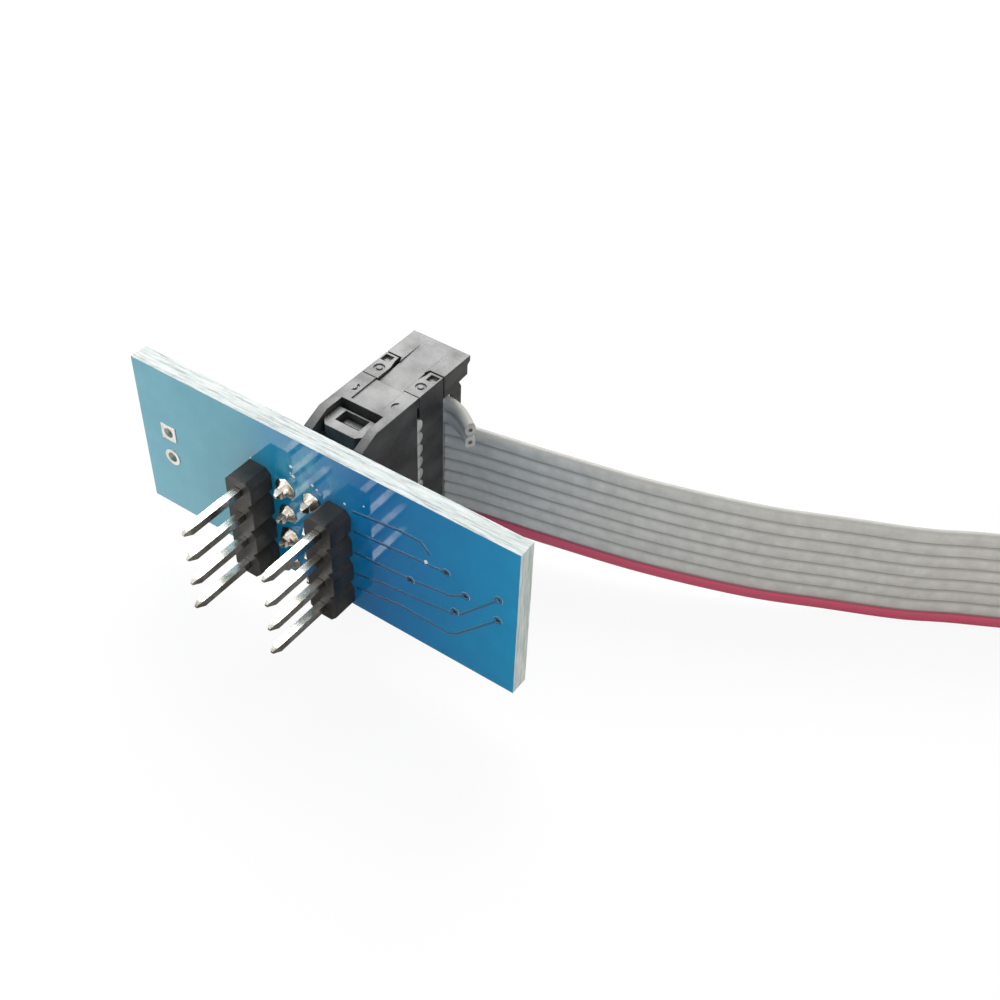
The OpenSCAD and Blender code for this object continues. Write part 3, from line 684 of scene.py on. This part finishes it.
def mask_blue_and_painted_reflection(tree, place, shade):
    """Blue that changes along the board, partly as a painted reflection, and is a little cloudy."""
    along = map_range(tree, place.outputs["X"], BOARD_LEFT, BOARD_RIGHT)
    stops = [(at, tuple(channel * shade for channel in blue)) for at, blue in MASK_BLUES_WITH_PAINTED_REFLECTION]
    clear = (1.0, 1.0, 1.0)
    cloud = ramp(tree, grain(tree, 2.6, 3), [(0.35, (0.55, 0.80, 0.88)), (0.65, clear)])
    mask = add(tree, "ShaderNodeMix", data_type="RGBA", blend_type="MULTIPLY")
    mask.inputs[0].default_value = 0.5
    tree.links.new(ramp(tree, along, stops), mask.inputs[6])
    tree.links.new(cloud, mask.inputs[7])
    return mask.outputs[2]


def flux_haze(tree, place):
    """How much dried flux lies on the mask, in smears around the plug's upper joints."""
    link = tree.links.new
    flat_place = add(tree, "ShaderNodeCombineXYZ")
    link(place.outputs["X"], flat_place.inputs["X"])
    link(place.outputs["Z"], flat_place.inputs["Z"])
    away = add(tree, "ShaderNodeVectorMath", operation="DISTANCE")
    away.inputs[1].default_value = HAZE_AT
    link(flat_place.outputs[0], away.inputs[0])
    smear = add(tree, "ShaderNodeMath", operation="MULTIPLY")
    link(map_range(tree, away.outputs["Value"], HAZE_FADES, HAZE_FULL), smear.inputs[0])
    streaks = grain(tree, 1.3, 5, (1, 1, 0.6))
    link(ramp(tree, streaks, [(0.46, 0.0), (0.62, 0.75)]), smear.inputs[1])
    return smear.outputs[0]


def cut_edge_colour(tree, direction, layers):
    """Layers of glass and resin, paler on the board's two short ends."""
    dark, middle_tone, light = (0.13, 0.17, 0.16), (0.34, 0.39, 0.38), (0.46, 0.50, 0.49)
    edge = ramp(tree, layers, [(0.36, dark), (0.47, middle_tone), (0.62, light)])
    fibres = ramp(tree, grain(tree, 0.35, 3, (0.3, 1.6, 1.0)), [(0.5, 0.0), (0.78, 0.6)])
    edge = mix(tree, fibres, edge, (0.17, 0.23, 0.22))
    paleness = ramp(tree, layers, [(0.36, 0.0), (0.6, 1.0)])
    pale_end = mix(tree, paleness, (0.42, 0.50, 0.46), (0.74, 0.80, 0.76))
    return mix(tree, points_along(tree, direction, "X"), edge, pale_end)


def board_material(name, shade, rounding_mm=0.05):
    """Blue mask on the faces, glass fibre on the edges; a shade below one is a deeper blue."""
    material, tree, shader = new_material(name, (0.01, 0.19 * shade, 0.40 * shade), 0.10)
    link = tree.links.new
    coords = add(tree, "ShaderNodeTexCoord")
    direction = add(tree, "ShaderNodeSeparateXYZ")
    link(coords.outputs["Normal"], direction.inputs[0])
    place = add(tree, "ShaderNodeSeparateXYZ")
    link(coords.outputs["Object"], place.inputs[0])
    face = points_along(tree, direction, "Y")
    layers = grain(tree, 0.9, 4, (0.35, 5.0, 0.35), 0.7)
    mask = mask_blue_and_painted_reflection(tree, place, shade)
    hazed = mix(tree, flux_haze(tree, place), mask, (0.12, 0.40, 0.50))
    edge = cut_edge_colour(tree, direction, layers)
    link(mix(tree, face, edge, hazed), shader.inputs["Base Color"])
    link(ramp(tree, face, [(0.0, 0.62), (1.0, 0.07)]), shader.inputs["Roughness"])
    ripple = ramp(tree, grain(tree, 1.8, 2), [(0.0, 0.0), (1.0, 0.18)])
    relief(tree, shader, mix(tree, face, layers, ripple), 0.03, rounding_mm)
    shader.inputs["Coat Weight"].default_value = 0.6
    shader.inputs["Coat Roughness"].default_value = 0.05
    shader.inputs["IOR"].default_value = 1.55
    return material


board = board_material("glossy blue mask on glass fibre", 1.0)
under_mask = board_material("mask over copper", 0.60, 0)
hole_dark, _, _ = new_material("shadow inside a plated hole", (0.010, 0.018, 0.024), 0.55)
flux, _, _ = new_material("dried flux", (0.80, 0.82, 0.80), 0.20, Coat_Weight=0.4)

# %% [markdown]
# ### The ribbon's vinyl
# Grey vinyl is slightly soft and waxy, with painted shade in the valleys between the wires, and
# the lowest wire has a red stripe that tells which side is pin one. The value stored across the
# ribbon picks all of these.

# %% Vinyl


def vinyl_material():
    """Grey vinyl with painted shade in the valleys and a red edge wire."""
    grey, shade, red = (0.62, 0.61, 0.565), (0.36, 0.355, 0.33), (0.64, 0.09, 0.16)
    material, tree, shader = new_material("grey vinyl with a red edge", grey, 0.42)
    link = tree.links.new
    across = add(tree, "ShaderNodeAttribute", attribute_name="across")
    part = add(tree, "ShaderNodeMath", operation="FRACT")
    link(across.outputs["Fac"], part.inputs[0])
    # painted shade: the valleys between the wires are darker, on the red stripe too
    valley_painted_shade = ramp(tree, part.outputs[0], [(0.0, 1.0), (0.24, 0.0), (0.84, 0.0), (1.0, 1.0)])
    mottled = ramp(tree, grain(tree, 1.1, 4), [(0.3, (0.51, 0.50, 0.465)), (0.7, grey)])
    colour = mix(tree, valley_painted_shade, mottled, shade)
    striped = ramp(tree, across.outputs["Fac"], [(0.0, 1.0), (0.93, 1.0), (0.99, 0.0), (1.0, 0.0)])
    colour = mix(tree, striped, colour, mix(tree, valley_painted_shade, red, (0.20, 0.012, 0.03)))
    link(colour, shader.inputs["Base Color"])
    link(ramp(tree, grain(tree, 0.7, 3), [(0.3, 0.36), (0.7, 0.50)]), shader.inputs["Roughness"])
    relief(tree, shader, grain(tree, 0.5, 3), 0.02, 0)
    shader.inputs["Subsurface Weight"].default_value = 0.08
    shader.inputs["Subsurface Radius"].default_value = (0.0006, 0.0005, 0.0004)
    return material


vinyl = vinyl_material()
for piece in (ribbon, clamped, clip_clamped, stub):
    piece.data.materials.append(vinyl)
copper_ends.data.materials.append(copper)

# %% [markdown]
# ## Solder joints
# Each pin of the plug is soldered on the board's front, and each long pin on its back. Molten
# solder climbs the pin and spreads on the pad, so a joint is a small concave cone, brighter and
# lumpier where it was made by hand. One turned cone for each face is scattered on the pin
# centres.

# %% Solder on both faces
BOARD_FRONT, BOARD_BACK = -11.05, -9.45  # the board's two faces
ROWS = (13.58, 11.04, 8.50, 5.96)  # heights of the four pins in a row
PLUG_COLUMNS = (-1.27, 1.27)
PIN_COLUMNS = (-3.9, 3.72)
FRONT_CONE = [
    (0, 0.02), (0.86, 0.02), (0.85, -0.06), (0.74, -0.14), (0.60, -0.26),
    (0.50, -0.42), (0.44, -0.58), (0.36, -0.64), (0, -0.64),
]
BACK_CONE = [
    (0, -0.02), (0.86, -0.02), (0.85, 0.06), (0.70, 0.16),
    (0.55, 0.30), (0.46, 0.48), (0.36, 0.60), (0, 0.62),
]
cone = turned_shape("solder cone", FRONT_CONE)
front_joints = grow(
    "front_solder_joints",
    points_object("front pin centres", [(x, BOARD_FRONT, z) for x in PLUG_COLUMNS for z in ROWS]),
    scatter,
    {
        "Shape": cone,
        "Smallest": 0.95,
        "Largest": 1.12,
        "Unevenness": 0.00030,
        "Noise scale": 1500.0,
        "Seed": 4,
        "Material": solder,
    },
    "adapter",
)
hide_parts("plug_solder")
back_cone = turned_shape("back solder cone", BACK_CONE)
back_joints = grow(
    "back_solder_joints",
    points_object("back pin centres", [(x, BOARD_BACK, z) for x in PIN_COLUMNS for z in ROWS]),
    scatter,
    {
        "Shape": back_cone,
        "Smallest": 0.92,
        "Largest": 1.02,
        "Unevenness": 0.00016,
        "Noise scale": 1200.0,
        "Seed": 9,
        "Material": solder,
    },
    "adapter",
)
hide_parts("dip_solder")

# %% [markdown]
# ## Copper under the mask, plated holes and drops of flux
# The tracks lie under the mask and show as faint raised lines that turn at 45 degrees and end in
# small plated holes. A track follows a line, so a second kind of tree sweeps a flat outline along
# drawn lines. The drops of flux near the pins are left from soldering by hand.

# %% Tracks


def sweep_tree(name, sockets, draw_outline):
    """A tree that sweeps an outline along drawn lines, with a filled end on each."""
    tree, start, end = new_tree(name, [*sockets, ("Material", "NodeSocketMaterial", None)])
    link = tree.links.new
    curve = add(tree, "GeometryNodeMeshToCurve")
    link(start.outputs["Geometry"], curve.inputs["Mesh"])
    sweep = add(tree, "GeometryNodeCurveToMesh")
    sweep.inputs["Fill Caps"].default_value = True
    link(curve.outputs[0], sweep.inputs["Curve"])
    link(draw_outline(tree, start).outputs[0], sweep.inputs["Profile Curve"])
    real = add(tree, "GeometryNodeRealizeInstances")
    link(sweep.outputs[0], real.inputs[0])
    paint_and_end(tree, start, end, real.outputs[0])
    return tree


def flat_outline(tree, start):
    """A low rectangle, for a copper track."""
    outline = add(tree, "GeometryNodeCurvePrimitiveQuadrilateral", mode="RECTANGLE")
    tree.links.new(start.outputs["Height"], outline.inputs["Width"])
    tree.links.new(start.outputs["Width"], outline.inputs["Height"])
    return outline


TRACKS = [
    [(5.2, 6.9), (9.4, 7.6), (13.8, 7.5), (14.6, 7.9), (18.1, 11.7)],
    [(5.2, 8.4), (7.4, 8.9), (14.2, 9.8), (14.9, 10.2), (18.1, 13.8)],
    [(5.2, 10.7), (10.4, 11.0), (14.0, 11.6), (15.3, 12.4)],
    [(5.2, 14.9), (9.6, 15.5), (11.4, 15.5), (12.2, 14.6)],
    [(5.2, 12.9), (11.0, 13.5), (13.6, 13.7)],
]


TRACK_MIDDLE = -11.00  # a track is 0.12 thick, so 0.01 of it stands out of the mask
tracks = grow(
    "tracks_under_mask",
    lines_object("track lines", [[(x, TRACK_MIDDLE, z) for x, z in track] for track in TRACKS]),
    sweep_tree(
        "flat strips along lines",
        [("Width", "NodeSocketFloat", 0.0003), ("Height", "NodeSocketFloat", 0.00004)],
        flat_outline,
    ),
    {"Width": 0.00026, "Height": 0.00012, "Material": under_mask},
    "adapter",
)

# %% Plated holes and flux
VIAS = [(13.6, 13.73), (10.4, 10.98), (15.3, 12.38), (18.1, 13.78), (18.1, 11.68), (14.4, 10.18)]
RING = [
    (0.17, -0.01), (0.20, -0.05), (0.33, -0.05), (0.38, -0.01), (0.38, 0.02), (0.17, 0.02),
    (0.17, -0.01),
]
ring = turned_shape("via ring", RING)
rings = grow(
    "via_rings",
    points_object("via centres", [(x, BOARD_FRONT, z) for x, z in VIAS]),
    scatter,
    {
        "Shape": ring,
        "Smallest": 0.95,
        "Largest": 1.05,
        "Unevenness": 0.0,
        "Seed": 2,
        "Material": under_mask,
    },
    "adapter",
)
# painted shadow: each hole is a flat dark disc on the mask, for the shade inside it
dot = turned_shape("hole shadow", [(0, -0.012), (0.19, -0.012), (0.19, 0.01), (0, 0.01)], 20)
holes = grow(
    "via_holes",
    points_object("hole centres", [(x, BOARD_FRONT, z) for x, z in VIAS]),
    scatter,
    {
        "Shape": dot,
        "Smallest": 1.0,
        "Largest": 1.25,
        "Unevenness": 0.00004,
        "Seed": 3,
        "Material": hole_dark,
    },
    "adapter",
)
DROPS = [
    (-0.5, 16.2), (-0.6, 15.5), (-0.35, 15.3), (1.5, 15.4), (1.9, 15.2),
    (4.5, 15.27), (6.3, 16.0), (11.84, 13.73), (-4.6, 14.9),
]
DROP = [(0, -0.06), (0.07, -0.05), (0.12, -0.02), (0.13, 0.01), (0, 0.01)]
drop = turned_shape("flux drop", DROP, 14)
drops = grow(
    "flux_drops",
    points_object("drop centres", [(x, BOARD_FRONT, z) for x, z in DROPS]),
    scatter,
    {
        "Shape": drop,
        "Smallest": 0.5,
        "Largest": 1.5,
        "Unevenness": 0.00012,
        "Noise scale": 6000.0,
        "Seed": 12,
        "Material": flux,
    },
    "adapter",
)
for shape in (cone, back_cone, ring, dot, drop):
    bpy.data.objects.remove(shape)

# %% [markdown]
# ## The two springs
# Each jaw is pushed out by a coil of round steel wire with a closed coil at each end. The wire
# follows a drawn helix, so the same kind of tree sweeps a circle along it. A spring shortens when
# its jaw is squeezed.

# %% Springs


def round_outline(tree, start):
    """A circle of the wire's radius."""
    outline = add(tree, "GeometryNodeCurvePrimitiveCircle")
    outline.inputs["Resolution"].default_value = 12
    tree.links.new(start.outputs["Radius"], outline.inputs["Radius"])
    return outline


COILS, CLOSED, SPRING_WIRE = 7, 1, 0.45
LOOSE = 1.05  # pitch of a closed coil, counted in wires
PER_COIL = 28  # points drawn in one turn


def coil_line(low, high):
    """A helix along X that fills a box, with a closed coil at each end."""
    radius = (high.z - low.z) / MM / 2 - SPRING_WIRE / 2
    first, last = low.x / MM + SPRING_WIRE / 2, high.x / MM - SPRING_WIRE / 2
    centre = (low + high) / 2 / MM
    open_pitch = (last - first - 2 * CLOSED * SPRING_WIRE * LOOSE) / (COILS - 2 * CLOSED)
    points = []
    for k in range(COILS * PER_COIL + 1):
        turns = k / PER_COIL
        closed = min(turns, CLOSED) + max(turns - (COILS - CLOSED), 0)
        x = first + closed * SPRING_WIRE * LOOSE + (turns - closed) * open_pitch
        angle = turns * 2 * math.pi
        points.append(
            (x, centre.y + radius * math.cos(angle), centre.z + radius * math.sin(angle))
        )
    return points


round_wire = sweep_tree(
    "round wire along lines", [("Radius", "NodeSocketFloat", 0.0002)], round_outline
)
for side, fixed_x in (("left", 0.0875), ("right", 0.0925)):
    low, high = (Vector(corner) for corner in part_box(f"spring_{side}"))
    spring = grow(
        f"coil_spring_{side}",
        lines_object("coil line", [coil_line(low, high)]),
        round_wire,
        {"Radius": SPRING_WIRE / 2 * MM, "Material": steel},
        "clip",
    )
    spring.data.shade_smooth()
    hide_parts(f"spring_{side}")
    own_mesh(spring)

# %% [markdown]
# ## Finishes on the hard parts
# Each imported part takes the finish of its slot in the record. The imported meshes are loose
# triangles, so a short tree merges them for shading and keeps every corner sharper than 32
# degrees as it is. Nothing moves.

# %% Assign the finishes
FINISH = {
    "board": board,
    "tin": tin,
    "solder": solder,
    "header_plastic": header_black,
    "socket_plastic": socket_black,
    "clip_plastic": clip_black,
    "ribbon": vinyl,
    "gold": gold,
    "steel": steel,
}
OWN_FINISH = {"plated_pads": pad_tin}
CORNER = math.radians(32)  # sharper corners than this stay sharp
slot_of = {row["node"]: row["material_slot"] for row in frame["record"]["subparts"]}


def shading_tree():
    """Merges loose triangles and shades gentle corners smooth."""
    tree, start, end = new_tree(
        "merged and softly shaded", [("Corner", "NodeSocketFloat", CORNER)]
    )
    merged = add(tree, "GeometryNodeMergeByDistance")
    merged.inputs["Distance"].default_value = 1e-7
    tree.links.new(start.outputs[0], merged.inputs["Geometry"])
    angle = add(tree, "GeometryNodeInputMeshEdgeAngle")
    gentle = add(tree, "FunctionNodeCompare", data_type="FLOAT", operation="LESS_THAN")
    tree.links.new(angle.outputs["Unsigned Angle"], gentle.inputs[0])
    tree.links.new(start.outputs["Corner"], gentle.inputs[1])
    faces = add(tree, "GeometryNodeSetShadeSmooth", domain="FACE")
    edges = add(tree, "GeometryNodeSetShadeSmooth", domain="EDGE")
    tree.links.new(merged.outputs[0], faces.inputs["Geometry"])
    tree.links.new(faces.outputs[0], edges.inputs["Geometry"])
    tree.links.new(gentle.outputs[0], edges.inputs["Shade Smooth"])
    tree.links.new(edges.outputs[0], end.inputs[0])
    return tree


shading = shading_tree()
for name, part in cad.items():
    finish = OWN_FINISH.get(name, FINISH[slot_of[name]])
    part.data.materials.clear()
    part.data.materials.append(finish)
    for face in part.data.polygons:
        face.material_index = 0
    modifier = part.modifiers.new("soft shading", "NODES")
    modifier.node_group = shading
print("finished", len(cad), "hard parts")

# %% [markdown]
# ## The table and the light
# The object stands on a pale table in an even studio. Black plastic only shows its form through
# what it mirrors, so one broad lamp stands above and behind, where the upward faces mirror it
# towards the camera. Two softer lamps fill the front. The table and the room turn bright for the
# camera and in reflections, by the kind of ray, while their light on the object stays plain. In
# reflections the table is white on the left and painted dark on the right, a painted reflection
# that keeps the mask there deep blue.

# %% Table


def is_seen(tree):
    """One for camera, glossy and transmission rays."""
    rays = add(tree, "ShaderNodeLightPath")
    first = add(tree, "ShaderNodeMath", operation="MAXIMUM")
    both = add(tree, "ShaderNodeMath", operation="MAXIMUM")
    tree.links.new(rays.outputs["Is Camera Ray"], first.inputs[0])
    tree.links.new(rays.outputs["Is Glossy Ray"], first.inputs[1])
    tree.links.new(first.outputs[0], both.inputs[0])
    tree.links.new(rays.outputs["Is Transmission Ray"], both.inputs[1])
    return both.outputs[0]


PAINTED_DARK_STARTS, PAINTED_DARK_FULL = -0.016, -0.006  # where the painted dark reflection starts and is full, along the board
PAINTED_DARK_LEVEL = 0.12  # how bright the table is in reflections past the painted dark edge


def glow_with_painted_dark_reflection(tree):
    """White for the camera; in reflections, white on the left and painted dark on the right."""
    place = add(tree, "ShaderNodeSeparateXYZ")
    tree.links.new(add(tree, "ShaderNodeTexCoord").outputs["Object"], place.inputs[0])
    # painted reflection: mirrored, the table's glow fades to dark towards the right
    painted_dark = map_range(tree, place.outputs["X"], PAINTED_DARK_STARTS, PAINTED_DARK_FULL, 1.0, PAINTED_DARK_LEVEL)
    rays = add(tree, "ShaderNodeLightPath")
    strength = add(tree, "ShaderNodeMix", data_type="FLOAT")
    strength.inputs[3].default_value = 1.0
    tree.links.new(rays.outputs["Is Camera Ray"], strength.inputs[0])
    tree.links.new(painted_dark, strength.inputs[2])
    glow = add(tree, "ShaderNodeEmission")
    tree.links.new(strength.outputs[0], glow.inputs["Strength"])
    return glow.outputs[0]


def table_material():
    """A pale table that glows for the rays that see it, painted dark in reflections on the right,
    and is plain for the rest.
    """
    material, tree, shader = new_material("white table", (0.86, 0.86, 0.86), 0.8)
    share = add(tree, "ShaderNodeMath", operation="MULTIPLY")
    share.inputs[1].default_value = 0.90
    tree.links.new(is_seen(tree), share.inputs[0])
    blend = add(tree, "ShaderNodeMixShader")
    tree.links.new(share.outputs[0], blend.inputs[0])
    tree.links.new(shader.outputs[0], blend.inputs[1])
    tree.links.new(glow_with_painted_dark_reflection(tree), blend.inputs[2])
    tree.links.new(blend.outputs[0], tree.nodes["Material Output"].inputs["Surface"])
    return material


bm = bmesh.new()
bmesh.ops.create_grid(bm, x_segments=2, y_segments=2, size=1.5)
table = mesh_piece("table", bm)
table.data.materials.append(table_material())

# %% Room and lamps
world = bpy.data.worlds.new("white room")
bpy.context.scene.world = world
world.use_nodes = True
room = world.node_tree
level = map_range(room, is_seen(room), 0.0, 1.0, 0.55, 1.0)
room.links.new(level, room.nodes["Background"].inputs["Strength"])
room.nodes["Background"].inputs["Color"].default_value = (1, 1, 1, 1)
LAMPS_AIM = Vector((0.005, 0, 0.01))


def soft_lamp(name, towards, distance, size, power):
    """A square lamp that looks at the board from a direction."""
    data = bpy.data.lights.new(name, "AREA")
    data.size, data.energy = size, power
    lamp = in_scene(name, data)
    place = LAMPS_AIM + Vector(towards).normalized() * distance
    facing = (place - LAMPS_AIM).to_track_quat("Z", "Y").to_matrix().to_4x4()
    lamp.matrix_world = Matrix.Translation(place) @ facing


soft_lamp("broad lamp above and behind", (-0.40, 0.61, 0.70), distance=0.55, size=0.46, power=3.7)
soft_lamp("soft lamp front left", (-0.7, -0.6, 0.8), distance=0.8, size=0.5, power=1.2)
soft_lamp("soft lamp front right", (0.8, -0.5, 0.5), distance=0.8, size=0.5, power=0.6)
print("one broad lamp and two soft ones")

# %% [markdown]
# ## Finishing
# The view is plain, so that the colours come out as they are written.

# %% View and finish
bpy.context.scene.view_settings.view_transform = "Standard"
bpy.context.view_layer.update()
